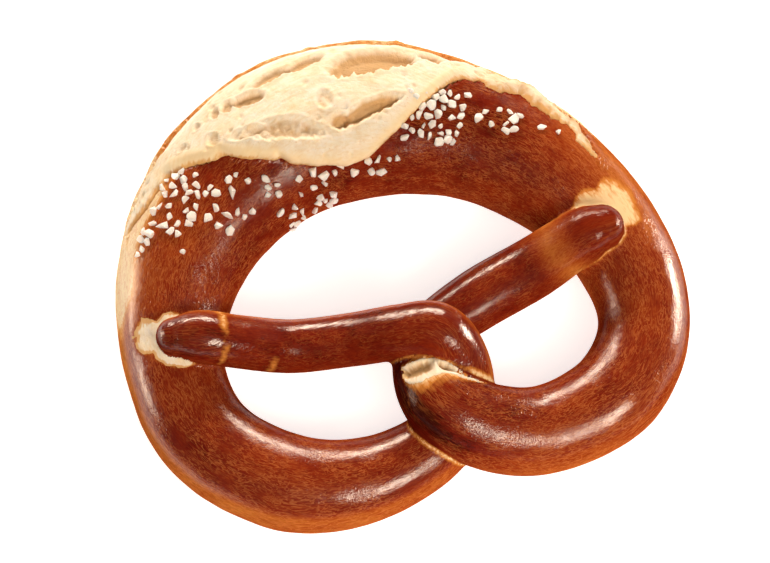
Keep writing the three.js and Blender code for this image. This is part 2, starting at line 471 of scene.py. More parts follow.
# %% Where the crust has torn
# distance along the rope, back lip, front lip, swell, raggedness
BURST = [
    (-66, 24, 24, 0.0, 0.3),
    (-62, 17, 32, 0.5, 1.0),
    (-57, 13, 41, 1.1, 0.9),
    (-52, 12, 49, 1.6, 0.5),
    (-46, 13, 57, 2.3, 0.3),
    (-39, 15, 77, 3.1, 0.2),
    (-32, 19, 98, 3.9, 0.3),
    (-22, 22, 122, 4.4, 0.3),
    (-12, 23, 135, 4.6, 0.15),
    (0, 24, 143, 4.6, 0.1),
    (9, 24, 138, 4.4, 0.1),
    (19, 25, 117, 3.8, 0.1),
    (27, 25, 90, 3.0, 0.15),
    (33, 24, 66, 2.2, 0.5),
    (40, 25, 52, 1.7, 1.0),
    (45, 27, 59, 1.6, 1.2),
    (51, 28, 50, 1.5, 1.5),
    (57, 26, 56, 1.4, 1.6),
    (64, 31, 52, 1.2, 1.5),
    (70, 39, 60, 0.9, 1.3),
    (75, 48, 63, 0.6, 0.8),
    (80, 58, 63, 0.0, 0.2),
]
TABLE_STEP = 0.25  # the table is filled in this finely
RAGGED_ANGLE = 5.0  # degrees by which a fully ragged lip wanders
ROUNDING = 2.0  # length of rope over which the table's corners are rounded off

burst_run = np.arange(BURST[0][0], BURST[-1][0] + TABLE_STEP, TABLE_STEP)
window = np.hanning(int(ROUNDING * 2 / TABLE_STEP) + 1)
burst_rows = np.array(BURST, float)


def table_column(k):
    values = np.interp(burst_run, burst_rows[:, 0], burst_rows[:, k])
    padded = np.pad(values, len(window) // 2, mode="edge")
    return np.convolve(padded, window / window.sum(), mode="valid")


def wandering(seed):
    row = in_a_row(burst_run)
    return lumps(row, 7.0, seed) + 0.8 * lumps(row, 2.6, seed + 3) + 0.5 * lumps(row, 1.1, seed + 5)


back_lip, front_lip, swelling, ragged = (table_column(k) for k in range(1, 5))
back_lip = back_lip + 0.5 * RAGGED_ANGLE * ragged * wandering(2.0)
front_lip = front_lip + RAGGED_ANGLE * ragged * wandering(9.0)
for peak in (-34.0, -22.5):
    front_lip -= 5 * bell(burst_run, peak, 1.6)  # a pointed flap of crust
print("the burst is", round(burst_run[-1] - burst_run[0]), "mm long")


def burst_at(distance):
    """Back lip, front lip and swell at a distance, with no opening beyond the burst's ends."""
    inside = (distance > burst_run[0]) & (distance < burst_run[-1])
    back, front, swell = (np.interp(distance, burst_run, c) for c in (back_lip, front_lip, swelling))
    return back, np.where(inside, front, back), np.where(inside, swell, 0)


def from_lips(distance, angle):
    """How far in millimetres a place is inside the back lip and the front lip; negative is outside."""
    back, front, _ = burst_at(distance)
    radius = radius_at(distance)
    return np.radians(angle - back) * radius, np.radians(front - angle) * radius


# %% [markdown]
# The crust curls up at its lips, most at the back, where it stands up like a thin rim behind the crumb.
# Between the lips it sinks out of sight under the crumb. The rest of the skin gets the shallow unevenness
# of dough that was rolled by hand. Everything below the tray is pressed flat.

# %% Shape the crust
BACK_CURL = 2.7  # height of the lips
FRONT_CURL = 0.45
FULL_SWELL = 4.6  # swell of the crumb at the middle of the burst
SUNK = 3.0  # how far the dough lies below the crumb's foot
TEAR_SINK = 3.6  # and below the crumb in the tear


def back_curl(distance):
    """Height of the rim behind the crumb, lower and bumpy towards its ends."""
    row = in_a_row(distance)
    bumps = 0.25 * lumps(row, 6.0, 21.0) + 1.6 * np.clip(lumps(row, 4.0, 27.0) - 0.3, 0, 0.6)
    _, _, swell = burst_at(distance)
    return np.clip(BACK_CURL * (swell / FULL_SWELL) ** 0.7 + bumps * step(0, 1.5, swell), 0, None)


def crust_stand(distance, angle):
    """How far the crust stands out of the plain rope: up at its lips, down under the crumb."""
    _, _, swell = burst_at(distance)
    past_back, past_front = from_lips(distance, angle)
    inside = np.minimum(past_back, past_front)
    open_here = step(0.05, 0.5, swell)
    rim = back_curl(distance) * step(-9, 0, past_back) ** 2 * (past_back < 2.5)
    lip = FRONT_CURL * bell(past_front, 0, 1.6) * step(0.5, 3, swell)
    sunk = SUNK * step(1.1, 2.6, inside) * open_here
    return rim + np.where(inside > -3, lip, 0) - sunk


_, width_here, _, out_here, up_here = rope_at(along)
hand = 0.5 * lumps(points, 17.0, 1.0) + 0.16 * lumps(points, 6.0, 2.0) + 0.04 * lumps(points, 2.4, 3.0)
hand *= step(8, BELLY, width_here)
turn = np.radians(angle)[:, None]
outward = np.cos(turn) * out_here + np.sin(turn) * up_here
calm = step(0, 2.5, other)  # leave the creases alone
tear_sink = TEAR_SINK * step(0.6, 2.2, past) * step(-0.2, -1.4, past - gape) * ends
stand = (crust_stand(along, angle) + hand) * calm - tear_sink
points = points + outward * stand[:, None]
points[:, 2] = np.maximum(points[:, 2], 0)
set_points(dough.data, points)
print("the crust's box is", np.round(points.max(0) - points.min(0), 1), "mm")

# %% [markdown]
# ## The crumb in the burst
# The crumb is a stretched sponge: a smooth ledge that rolls over the front lip, and behind it long pockets,
# torn open where bubbles were, with frayed edges. It is a grid laid over the rope between the two lips,
# finer than the crust, and each pocket presses it in. Real hollows are needed here, because they cast
# shadows that bump in a material can't.

# %% Pockets in the crumb
# distance along the rope, angle, half length, half width, depth, slope of its long axis, how rough inside
POCKETS = [
    (-13, 62, 5.2, 1.9, 1.8, -0.05, 0.5),
    (-4.7, 61, 5.4, 2.0, 2.0, -0.25, 0.5),
    (11.5, 66, 12.5, 4.2, 3.2, -0.25, 0.2),
    (26.2, 54, 3.6, 2.4, 2.2, -0.2, 0.3),
    (-20, 69, 4.6, 2.0, 1.9, 0.45, 0.3),
    (-25, 63, 1.9, 2.0, 1.6, 0.6, 0.3),
    (-28.2, 60, 1.4, 1.9, 1.4, 0.6, 0.3),
    (-15.5, 101, 11.5, 3.0, 1.2, 0.42, 1.6),
    (-26, 88, 5.0, 1.6, 0.8, 0.4, 1.2),
    (-2.5, 92, 2.6, 2.6, 0.9, 0.3, 1.6),
    (0.5, 108, 3.4, 2.2, 2.0, 0.0, 0.8),
    (9.6, 102, 10.5, 2.2, 2.6, -0.36, 0.7),
    (-33.4, 74, 1.9, 1.7, 0.9, 0.0, 0.3),
    (-33.4, 56, 1.2, 1.2, 0.8, 0.3, 0.3),
    (-39.5, 57, 1.6, 1.1, 0.8, 0.3, 0.5),
    (48, 36, 4.5, 1.5, 1.3, 0.1, 1.0),
    (60, 38, 5.0, 1.3, 1.3, 0.2, 1.0),
    (-46, 34, 3.0, 1.3, 0.7, 0.2, 1.0),
]
ALONG_STEP = 0.4  # size of the grid's faces along the rope
ACROSS = 120  # points from lip to lip
FOOT = 0.4  # the crumb starts this far below the front lip of the crust
CORE = 4.0  # and its hidden underside lies this deep

crumb_run = np.arange(burst_run[0] + 2, burst_run[-1] - 1, ALONG_STEP)
share = np.linspace(0, 1, ACROSS)
back, front, swell = burst_at(crumb_run)
crumb_angle = back[:, None] + (front - back)[:, None] * share
crumb_along = np.repeat(crumb_run[:, None], ACROSS, 1)
from_back, from_front = from_lips(crumb_along, crumb_angle)
radius = radius_at(crumb_along)
flat = rolled_out(crumb_along, crumb_angle, radius)

rough = lumps(flat, 1.3, 4.0) + 0.6 * lumps(flat, 0.6, 8.0)
fray = lumps(flat * [1.0, 0.35, 1], 0.9, 6.0)
hollow = np.zeros_like(crumb_along)
rim = np.zeros_like(crumb_along)
for distance, pocket_angle, half_length, half_width, depth, slope, coarse in POCKETS:
    u = crumb_along - distance
    v = np.radians(crumb_angle - pocket_angle) * radius
    tilt = math.atan(slope)
    u, v = u * math.cos(tilt) + v * math.sin(tilt), v * math.cos(tilt) - u * math.sin(tilt)
    reach = np.hypot(u / half_length, v / half_width)
    reach += 0.1 * rough + 0.16 * fray * step(-0.2, 0.8, v / half_width)
    wall = 0.28 + 0.3 * step(0.6, -0.6, v / half_width)  # steep at the front and shallow at the back
    inside = 1 - step(1 - wall, 1.04, reach)
    hollow += inside * (depth + 0.4 * coarse * rough)
    rim += 0.35 * bell(reach, 1.12, 0.12)
print(len(POCKETS), "pockets, the deepest", round(float(hollow.max()), 1), "mm")

# %% [markdown]
# Small bubbles are scattered over the crumb as well, fewer on the smooth ledge and more inside the pockets.
# Each one presses a little bowl into the grid.

# %% Bubbles in the crumb
BUBBLES = 420
LEDGE = 6.5  # width of the smooth ledge at the front

chance = random.Random(3)
ledge = step(LEDGE, 2, from_front) * step(1.5, 3, swell)[:, None]
bubbles = np.zeros_like(hollow)
for _ in range(BUBBLES):
    row, column = chance.randrange(len(crumb_run)), chance.randrange(8, ACROSS - 8)
    size = 0.3 + 0.9 * chance.random() ** 3
    if chance.random() < ledge[row, column]:
        continue
    near = slice(max(0, row - 6), row + 7)
    away = flat[near] - flat[row, column]
    gap = np.hypot(away[..., 0], 1.3 * away[..., 1])
    bowl = 0.55 * size * (1 - step(0.5, 1.05, gap / size + 0.1 * rough[near]))
    bubbles[near] = np.maximum(bubbles[near], bowl)
print("bubbles cover", f"{(bubbles > 0).mean():.0%}", "of the crumb")

# %% [markdown]
# Between the pockets the crumb is a soft skin with long folds and fine pores. The ledge at the front is the
# smoothest part, and to the right, where the burst narrows, the crumb bulges over its rim and has browned.
# The last thing is to close the grid with an underside, deep in the dough, so that the crumb is a solid
# piece.

# %% Shape the crumb
ROLL = 2.4  # the crumb rises from its front lip over about this distance
BACK_RISE = 12.0  # and from its back lip over this distance
BEHIND_RIM = 1.9  # the crumb starts this far below the rim
BULGE = 1.5  # how far it bulges where the burst narrows

inner = np.minimum(from_back, from_front)
share_front = step(0.35, 0.65, share)[None]
lip_height = (back_curl(crumb_along) - BEHIND_RIM) * (1 - share_front) + (FRONT_CURL - FOOT) * share_front
front_rise = 1 - np.exp(-np.clip(inner, 0, None) / (ROLL * np.clip(swell / 3, 0.4, 1))[:, None])
rise = np.where(from_back < from_front, step(0, BACK_RISE, from_back), front_rise)
height = lip_height + (swell[:, None] - lip_height) * rise
folds = 0.5 * lumps(flat * [0.35, 1, 1], 5.0, 14.0) + 0.25 * lumps(flat * [0.5, 1, 1], 2.4, 16.0)
texture = folds * (1 - 0.7 * ledge) + 0.1 * rough * (1 - 0.9 * ledge) + 0.02 * lumps(flat, 0.8, 18.0)
away_from_lips = step(0, 2.0, inner)
height += (texture + rim) * away_from_lips
height += 0.5 * ledge * np.sin(np.pi * np.clip(from_front / LEDGE, 0, 1))
height -= (hollow + bubbles) * step(0.6, 2.2, inner)
height += BULGE * bell(crumb_along, 52, 9) * away_from_lips
top = skin(crumb_along, crumb_angle, height)
under = skin(crumb_along, crumb_angle, -CORE)[:, ::-1][:, :: ACROSS // 8]
browned = 2.2 * step(28, 44, crumb_along) * (0.4 + 0.6 * step(6, 2, from_back))  # as brown as a deep pocket
# in the finish the hollow layer tints the crumb tan by depth, which is painted shade; browned is real
# browning
layers = {"hollow": hollow + bubbles + browned, "inner": inner, "ledge": ledge, "place": flat}
crumb = closed_grid("crumb", top, under, layers)
print("the crumb is", round(float(height.max()), 1), "mm proud")

# %% [markdown]
# ## Stores for the crust
# The crust's material has to know some things about each point that noise can't tell it, so they are worked
# out here and stored in the mesh. The first is how near the pale dough is. Next to a crease the number is
# below 1, which is bare dough, and it rises over gold, from 1 to about 2, to the brown crust. Two cracks on
# the left arm are drawn as short lines across it. The strand above the tear stays brown.

# %% Store how near the pale dough is
# distance along the rope, angle from and to, width, and the least number: below 1 is bare, above is golden
PALE_LINES = [
    (-295.0, 25, 75, 0.8, 0.85),  # the left arm cracked where it bends down onto the ring
    (-294.5, 75, 130, 0.5, 1.6),
    (-293.5, 130, 170, 0.7, 1.1),
    (-278.5, 150, 185, 1.2, 1.25),  # a tear low on the left arm
]
TEAR_MIDDLE = (203.0, 90.0)  # distance along the rope and angle

wide = seam_width(along, angle)
seam = np.where(other < wide, other / wide, 1 + (other - wide) / (0.5 + 0.12 * wide))
past_both = np.maximum(-past / 1.5, (past - gape) / 0.8)
seam = np.where(ends * (past > -6), np.minimum(seam, 1.0 + past_both), seam)
from_tear = np.linalg.norm(points - skin(*np.array(TEAR_MIDDLE)), axis=1)
upper = np.abs(along - TEAR_MIDDLE[0]) > OTHER_STRAND
kept_brown = 2.0 * step(16, 12, from_tear) * step(62, 78, angle)
seam = np.where(upper, np.maximum(seam, kept_brown), seam)
waver = lumps(in_a_row(angle / 9), 1.0, 61.0)
for distance, start, end, line_width, least in PALE_LINES:
    off_line = np.abs(along - distance - 0.8 * waver) / line_width
    beyond = np.clip(np.maximum(start - angle, angle - end), 0, None) / 12
    seam = np.minimum(seam, least + 0.7 * np.hypot(off_line, beyond))
store(dough.data, "seam", np.clip(seam, 0, 5))
print("bare dough:", f"{(seam < 1).mean():.1%}", "of the skin's points")

# %% [markdown]
# The second is how pale the crust is. The lye browns the dough most where it faces the oven's heat, and
# least low on the sides and near the burst, where the dough stretched late. On this pretzel some spots are
# paler or darker than that, and two short tables and a few lines say where. Two of the lines are painted
# light: painted shade darkens the twist's shaded side, and the thin skin beside the burst's left end is
# paler and carries a painted highlight.

# %% Store the browning
# how much paler all round the rope, distance along it, reach
PALE_ROUND = [
    (0.12, -84, 30),  # left side
    (0.22, 92, 30),  # right side
    (0.1, -150, 35),  # left loop
    (0.1, 150, 35),  # right loop
    (0.5, 278, 6),  # golden before the dark right tip
]
# how much paler, distance along the rope, reach, angle, reach
PALE_SPOTS = [
    (0.3, 82, 20, 40, 30),  # beyond the burst's right end
    (0.16, -56, 18, 90, 40),  # the left shoulder
]

outer_flank = step(48, -12, angle)
inner_flank = step(150, 195, angle)
pale = 0.18 + 0.1 * inner_flank + outer_flank * (0.02 + 0.16 * step(40, 100, along))
for amount, distance, reach in PALE_ROUND:
    pale += amount * bell(along, distance, reach)
for amount, distance, reach, turned, spread in PALE_SPOTS:
    pale += amount * bell(along, distance, reach) * bell(angle, turned, spread)
pale -= 0.14 * outer_flank * step(-110, -130, along) * step(-215, -200, along)  # the left loop's outside
pale -= 0.24 * bell(along, 204, 16) * step(70, 30, angle)  # painted shade: the twist's shaded side is darkened
pale += 0.14 * bell(along, 165, 30) * step(100, 50, angle)  # the front of the right loop
thin_skin_and_highlight = step(-88, -74, along) * step(-44, -54, along)  # thin skin beside the burst's left end: paler dough with a painted highlight on it
pale += 0.95 * thin_skin_and_highlight * bell(angle, 30, 24)
past_back, past_front = from_lips(along, angle)
pale += 0.4 * step(-4, 0, past_front) * step(-38, -50, along)  # a golden edge along the front lip
golden_rim = step(-5, -1, past_back) * (angle < back_lip.mean() + 10)
pale += golden_rim * step(0, 1, burst_at(along)[2]) * (0.65 + 0.1 * step(28, 38, along))
store(dough.data, "pale", pale)
print("the crust's paleness goes from", round(float(pale.min()), 2), "to", round(float(pale.max()), 2))

# %% [markdown]
# The third is where the crust is dull. It shines on top and less where its sides get steep, and some spots
# have hardly any gloss: the front of the left arm, the top of the right tip, the twist's shaded side, the
# stretched belly just below the burst, and wherever pale dough is near. The thick strands are wrinkled and
# the thin ones are nearly smooth. The last thing is the point's place, as if the rope lay straight: the
# fibres of a crust run along the strand, and with this the material can follow every bend.

# %% Store the dull spots, the wrinkles and the straightened place
normals = np.empty(3 * len(points), np.float32)
dough.data.vertex_normals.foreach_get("vector", normals)
front_loops = step(125, 145, np.abs(along)) * step(215, 200, np.abs(along))
steep = 0.7 + 0.25 * bell(along, 78, 26) + 0.13 * front_loops
DULL_SPOTS = [
    step(steep, steep - 0.28, normals.reshape(-1, 3)[:, 2]),  # steep sides
    0.85 * step(-296, -288, along) * step(-208, -216, along) * step(98, 114, angle),  # left arm's front
    0.7 * step(282, 290, along) * step(196, 184, angle),  # top of the right tip
    0.8 * bell(along, 204, 14) * step(80, 55, angle),  # the twist's shaded side
    0.6 * step(32, 40, width_here),  # the belly
    0.9 * step(0, 12, along) * step(80, 66, along) * step(-14, -6, past_front),  # just below the burst
    0.9 * step(3.4, 1.8, seam),  # near pale dough
    0.85 * upper * step(12, 8, from_tear),  # above the tear
]
store(dough.data, "dull", np.max(DULL_SPOTS, axis=0))
store(dough.data, "wrinkled", 0.5 + 0.5 * step(14, 26, width_here))
store(dough.data, "tray", step(1.2, 0.1, points[:, 2]))
turn, radius = np.radians(angle), width_here / 2
store(dough.data, "place", np.stack([along, np.cos(turn) * radius, np.sin(turn) * radius], -1))
print("stored", len(dough.data.attributes), "layers in the dough")

# %% [markdown]
# ## Crumb in the creases
# Round the left tip and in the tear by the twist, shreds of crumb show. Each is a patch of its own, much
# finer than the crust. It is laid over the dough point by point with rays, and where it isn't wanted it
# dives under the crust, so its outline comes out as ragged as a real one.

# %% Patches of crumb
FINE = 0.28  # size of a patch's faces
FEEL = 1.4  # the rays start this far above the strand, so that they meet no other strand
PATCH_DEPTH = 3.0


def surface_of(piece):
    """The piece's faces, ready for rays, in millimetres."""
    mesh = piece.data
    corners = [vertex.co / MM for vertex in mesh.vertices]
    return BVHTree.FromPolygons(corners, [list(face.vertices) for face in mesh.polygons])


surfaces = {"dough": surface_of(dough), "crumb": surface_of(crumb)}


def lay_on_dough(distance, angle):
    """How far the dough really stands out from the plain strand at each place."""
    starts, feet = skin(distance, angle, FEEL), skin(distance, angle, 0.0)
    result = np.zeros(distance.shape)
    for place in np.ndindex(distance.shape):
        way = Vector(feet[place] - starts[place]).normalized()
        reached = surfaces["dough"].ray_cast(Vector(starts[place]), way, 4 * FEEL)[3]
        result[place] = FEEL - reached if reached is not None else 0.0
    return result


def crumb_patch(name, start, end, low_angle, high_angle, shape):
    """A closed patch over part of a strand. shape gives how far it stands out and its hollows."""
    size = float(rope_at(np.float64((start + end) / 2))[1]) / 2
    runs = np.arange(start, end, FINE)
    turns = np.arange(low_angle, high_angle, math.degrees(FINE / size))
    distance, angle = np.meshgrid(runs, turns, indexing="ij")
    found, _, gap = place_on_rope(skin(distance, angle).reshape(-1, 3))
    inside_other = np.abs(found.reshape(distance.shape) - distance) > OTHER_STRAND
    gap = np.where(inside_other, -1.0, gap.reshape(distance.shape))
    lay = rolled_out(distance, angle, size)
    ground = lay_on_dough(distance, angle)
    stand, hollow = shape(distance, angle, gap, lay, ground)
    top = skin(distance, angle, stand)
    under = skin(distance, angle, stand - PATCH_DEPTH)[:, ::-1][:, ::6]
    # the hollow layer becomes painted shade in the crumb's finish
    layers = {"hollow": hollow, "inner": 12 * (stand - ground) + 0.3, "ledge": 0 * hollow, "place": lay}
    return closed_grid(name, top, under, layers)


def collar(distance, angle, gap, lay, ground):
    """The shreds of dough that show round a tip."""
    shreds = lumps(lay, 2.2, 41.0) + 0.5 * lumps(lay, 0.9, 43.0)
    wide = seam_width(distance, angle)
    height = 0.6 * np.clip(1 - gap / wide, -2, 0.8) + 0.15 * shreds - 2.5 * step(1.4, 0.6, wide)
    # the second number tints the low spots among the shreds tan: painted shade
    return ground + np.clip(height, -2, 0.8), np.clip(-0.6 * shreds, 0, 1)


def tear(distance, angle, gap, lay, ground):
    """Two shallow lenses with a web of threads between them. The dough was sunk below them on purpose."""
    past, gape, ends = past_tear(distance, angle)
    threads = lumps(lay * [0.5, 1.2, 1], 1.3, 51.0) + 0.5 * lumps(lay * [0.7, 1, 1], 0.6, 53.0)
    web = bell(angle, 108, 7)
    middle = step(0.9, 0.6 * gape, past) * step(-0.1, -1.5, past - gape) * (1 - web) * ends
    stand = 0.2 - 2.6 * middle + 0.15 * web + threads * (0.12 + 0.22 * web) * ends
    stand = np.minimum(stand, 0.25 + 2.4 * (past - 0.5))
    stand = np.minimum(stand, 0.2 - 2.4 * (past - gape - 0.2))
    stand -= 3 * (1 - ends)
    # the second number tints the lens floors tan: painted shade under the arm
    return np.clip(stand, -3, 1), np.clip(2.2 * middle - 0.9 * threads, 0, 3)


patches = [
    crumb_patch("left_tip_crumb", -104, -72, 28, 128, collar),
    crumb_patch("twist_crumb", 188, 216, 34, 154, tear),
]

# %% [markdown]
# ## Coarse salt
# Pretzel salt is coarse, with broken corners. Each grain is the hull around a few random points, which
# gives flat faces at odd angles, as crushed salt has. The grains are strewn in patches, dropped onto the
# surface from outside, and pressed in a little. All of them are one mesh, because they are one kind of
# thing. The random numbers are seeded, so that the same grains fall in the same places on every run.

# %% Strew the salt
# what they fall on, distance along the rope from and to, angle from and to, number of grains
SALT = [
    ("dough", -60, -43, 52, 96, 30),
    ("dough", -56, -34, 88, 138, 13),
    ("dough", -34, -8, 124, 196, 26),
    ("dough", -6, 20, 143, 160, 9),
    ("dough", 19, 38, 74, 128, 34),
    ("dough", 42, 54, 74, 100, 10),
    ("dough", 58, 60, 70, 74, 1),
    ("dough", 63, 65, 60, 66, 1),
    ("dough", -68, -60, 50, 60, 6),
    ("dough", -66, -64, 96, 100, 1),
    ("crumb", 21, 26, 84, 94, 3),
    ("dough", -18, -14, 8, 13, 2),
]
GRAIN = (1.25, 2.05)  # smallest and largest half size
APART = 2.3  # no two grains lie nearer than this
GRAIN_POINTS = 11
WORN = 0.16  # how far the corners are worn off
TRIES = 60  # for each grain that is wanted

rng = random.Random(7)


def drop(distance, angle):
    """What lies outermost at this place on the rope, its surface point and the way out of it."""
    centre, width, _, out, up = rope_at(np.float64(distance))
    way = Vector(out * math.cos(math.radians(angle)) + up * math.sin(math.radians(angle)))
    start = Vector(centre) + way * 1.6 * width / 2
    hits = {name: tree.ray_cast(start, -way, width) for name, tree in surfaces.items()}
    hits = {name: hit for name, hit in hits.items() if hit[0] is not None}
    outermost = min(hits, key=lambda name: hits[name][3])
    return outermost, hits[outermost][0], hits[outermost][1]


def add_grain(salt, spot, normal):
    size = rng.uniform(*GRAIN)
    stretch = Vector((rng.uniform(0.65, 1.1), rng.uniform(0.65, 1.1), rng.uniform(0.55, 0.85)))
    spin = Matrix.Rotation(rng.uniform(0, 2 * math.pi), 3, normal)
    turned = spin @ normal.to_track_quat("Z", "Y").to_matrix()
    grain = bmesh.new()
    for _ in range(GRAIN_POINTS):
        way = Vector([rng.gauss(0, 1) for _ in range(3)]).normalized()
        corner = Vector(a * b for a, b in zip(way, stretch)) * size * rng.uniform(0.85, 1.1)
        grain.verts.new(turned @ corner + spot + normal * size * 0.3)
    hull = bmesh.ops.convex_hull(grain, input=grain.verts)
    inside = [item for item in hull["geom_interior"] if isinstance(item, bmesh.types.BMVert)]
    bmesh.ops.delete(grain, geom=inside, context="VERTS")
    worn = {"offset": WORN, "segments": 1, "affect": "EDGES", "profile": 0.5, "clamp_overlap": True}
    bmesh.ops.bevel(grain, geom=grain.edges[:], **worn)
    piece = bpy.data.meshes.new("grain")
    grain.to_mesh(piece)
    grain.free()
    salt.from_mesh(piece)
    bpy.data.meshes.remove(piece)


salt_build = bmesh.new()
spots = []
for wanted, first, last, low_angle, high_angle, count in SALT:
    placed = 0
    for _ in range(TRIES * count):
        distance, where = rng.uniform(first, last), rng.uniform(low_angle, high_angle)
        hit, spot, normal = drop(distance, where)
        free = all((spot - other_spot).length > APART for other_spot in spots)
        if placed < count and hit == wanted and free:
            add_grain(salt_build, spot, normal)
            spots.append(spot)
            placed += 1
bmesh.ops.scale(salt_build, vec=(MM, MM, MM), verts=salt_build.verts)
salt_mesh = bpy.data.meshes.new("salt")
salt_build.to_mesh(salt_mesh)
salt_build.free()
salt = add_piece("salt", salt_mesh, smooth=False)
print("strewed", len(spots), "grains of salt")

# %% [markdown]
# ## Building materials
# A material here is a small network of nodes. Each helper adds one node and hands back its output, so that
# a finish reads like a recipe. Sizes of spots and fibres are given in millimetres.

# %% Helpers for materials
def new_material(name):
    material = bpy.data.materials.new(name)
    material.use_nodes = True
    material.node_tree.nodes.clear()
    return material


def node(material, kind, inputs, **options):
    """Add a node. An input is a plain value or another node's output."""
    tree = material.node_tree
    made = tree.nodes.new("ShaderNode" + kind)
    for option, value in options.items():
        setattr(made, option, value)
    for socket, value in inputs.items():
        if isinstance(value, bpy.types.NodeSocket):
            tree.links.new(value, made.inputs[socket])
        else:
            made.inputs[socket].default_value = value
    return made


def stored(material, name, output="Fac"):
    return node(material, "Attribute", {}, attribute_name=name).outputs[output]


def spots_of(material, vector, size, stretch=(1, 1, 1), detail=2.0, twist=0.0):
    """Noise from 0 to 1 with spots of this size in millimetres, stretched along chosen axes."""
    scale = [1 / (size * s) for s in stretch]
    scaled = node(material, "Mapping", {"Vector": vector, "Scale": scale}).outputs["Vector"]
    inputs = {"Vector": scaled, "Scale": 1.0, "Detail": detail, "Distortion": twist}
    return node(material, "TexNoise", inputs).outputs["Fac"]


def sway(material, vector, size, amount):
    """Move places about by noise, so that what follows them bends; size and amount in millimetres."""
    slow = node(material, "Mapping", {"Vector": vector, "Scale": [1 / size] * 3}).outputs["Vector"]
    push = node(material, "TexNoise", {"Vector": slow, "Scale": 1.0, "Detail": 1.0}).outputs["Color"]
    push = node(material, "VectorMath", {0: push, 1: (0.5, 0.5, 0.5)}, operation="SUBTRACT").outputs[0]
    push = node(material, "VectorMath", {0: push, "Scale": 2 * amount}, operation="SCALE").outputs[0]
    return node(material, "VectorMath", {0: vector, 1: push}, operation="ADD").outputs[0]


def maths(material, operation, a, b=0.0, c=0.0):
    return node(material, "Math", {0: a, 1: b, 2: c}, operation=operation).outputs[0]


def varied(material, value, noise, amount):
    """The value with noise added, half the amount up and half of it down."""
    return maths(material, "ADD", value, maths(material, "MULTIPLY_ADD", noise, amount, -amount / 2))


def two_of(material, a, share_a, b, share_b):
    """A share of one thing and a share of another."""
    return maths(material, "MULTIPLY_ADD", a, share_a, maths(material, "MULTIPLY", b, share_b))


def window_of(material, value, start, end, low=0.0, high=1.0):
    """A soft step from low to high as the value goes from start to end."""
    inputs = {"Value": value, "From Min": start, "From Max": end, "To Min": low, "To Max": high}
    return node(material, "MapRange", inputs, interpolation_type="SMOOTHSTEP").outputs["Result"]


def blend(material, share, a, b):
    inputs = {0: share, 6: a, 7: b}
    return node(material, "Mix", inputs, data_type="RGBA").outputs[2]


def ramp(material, value, stops):
    """A colour that changes with the value; stops are (value, colour)."""
    made = node(material, "ValToRGB", {"Fac": value})
    elements = made.color_ramp.elements
    while len(elements) < len(stops):
        elements.new(0.5)
    for element, (position, colour) in zip(elements, stops):
        element.position = position
        element.color = colour
    return made.outputs["Color"]


def colour(*screen):
    """A colour given as it looks on a screen, from 0 to 255, turned into light."""
    shares = [value / 255 for value in screen]
    light = [share / 12.92 if share < 0.039 else ((share + 0.055) / 1.055) ** 2.4 for share in shares]
    return (*light, 1)


def finish_with(material, shader):
    node(material, "OutputMaterial", {"Surface": shader.outputs[0]})
    return material


# %% [markdown]
# ## The lye crust
# Its colour runs from mahogany to orange. Broad clouds, smaller blotches and a fine grain shift it up and
# down, because no oven browns evenly. Over it lies a net of golden hairs, where the skin stretched and
# broke. They are the thin lines along which a noise crosses its own middle. The noise is stretched along
# the strand, and the places it is read at sway from side to side, so that the hairs do too.

# %% Brown and hairs
CRUST_BROWNS = [
    (0.0, colour(56, 9, 5)),
    (0.16, colour(108, 25, 12)),
    (0.34, colour(134, 43, 17)),
    (0.54, colour(162, 74, 28)),
    (0.74, colour(196, 116, 50)),
    (0.88, colour(232, 170, 100)),
    (1.0, colour(250, 226, 184)),
]
HAIRS = [(0.55, 6), (0.8, 4)]  # size, and how much longer than wide
HAIR_STRENGTH = 0.38
HAIR_GOLD = colour(216, 130, 70)


def crust_brown(material, place, blotches):
    pale = stored(material, "pale")
    clouds = spots_of(material, place, 13, (1.5, 1, 1), 3)
    grain = spots_of(material, place, 0.4, (4, 1, 1), 2, 0.6)
    browning = pale
    for noise_here, amount in ((clouds, 0.4), (blotches, 0.25), (grain, 0.4)):
        browning = varied(material, browning, noise_here, amount)
    brown = ramp(material, browning, CRUST_BROWNS)

    swayed = sway(material, place, 9, 1.6)
    hairs = 0.0
    for size, stretch in HAIRS:
        layer = spots_of(material, swayed, size, (stretch, 1, 1), 1, 0.3)
        off_line = maths(material, "ABSOLUTE", maths(material, "SUBTRACT", layer, 0.5))
        hairs = maths(material, "MAXIMUM", hairs, window_of(material, off_line, 0.05, 0.01))
    where = spots_of(material, place, 5, (1.5, 1, 1), 3)
    where = maths(material, "MULTIPLY_ADD", pale, 0.7, where)  # more of them where the crust is pale
    hairs = maths(material, "MULTIPLY", hairs, window_of(material, where, 0.42, 0.8))
    hairs = maths(material, "MULTIPLY", hairs, stored(material, "wrinkled"))
    return blend(material, maths(material, "MULTIPLY", hairs, HAIR_STRENGTH), brown, HAIR_GOLD)


# %% [markdown]
# Beside the creases the crust fades over a golden edge into bare dough, and where it lay on the tray it is
# pale brown. A noise makes the golden edge ragged. It is stretched along the strand, as torn skin is.

# %% Golden edges and bare dough
def crust_edges(material, place, brown):
    """The crust's whole colour, and how bare it is."""
    ragged = spots_of(material, place, 1.0, (2.5, 1, 1), 3, 0.6)
    edge = varied(material, stored(material, "seam"), ragged, 1.6)
    golden = window_of(material, edge, 2.4, 0.7)
    bare = window_of(material, edge, 1.3, 0.5)
    surface = blend(material, golden, brown, colour(216, 142, 66))
    surface = blend(material, bare, surface, colour(242, 214, 168))
    on_tray = maths(material, "MULTIPLY", stored(material, "tray"), 0.7)
    return blend(material, on_tray, surface, colour(150, 84, 40)), bare


# %% [markdown]
# The finest relief is left to bump: wrinkles across the strand, pimples, and shallow dents. Real wrinkles
# in the mesh would take millions of faces. The wrinkles matter, because they break up the highlights.

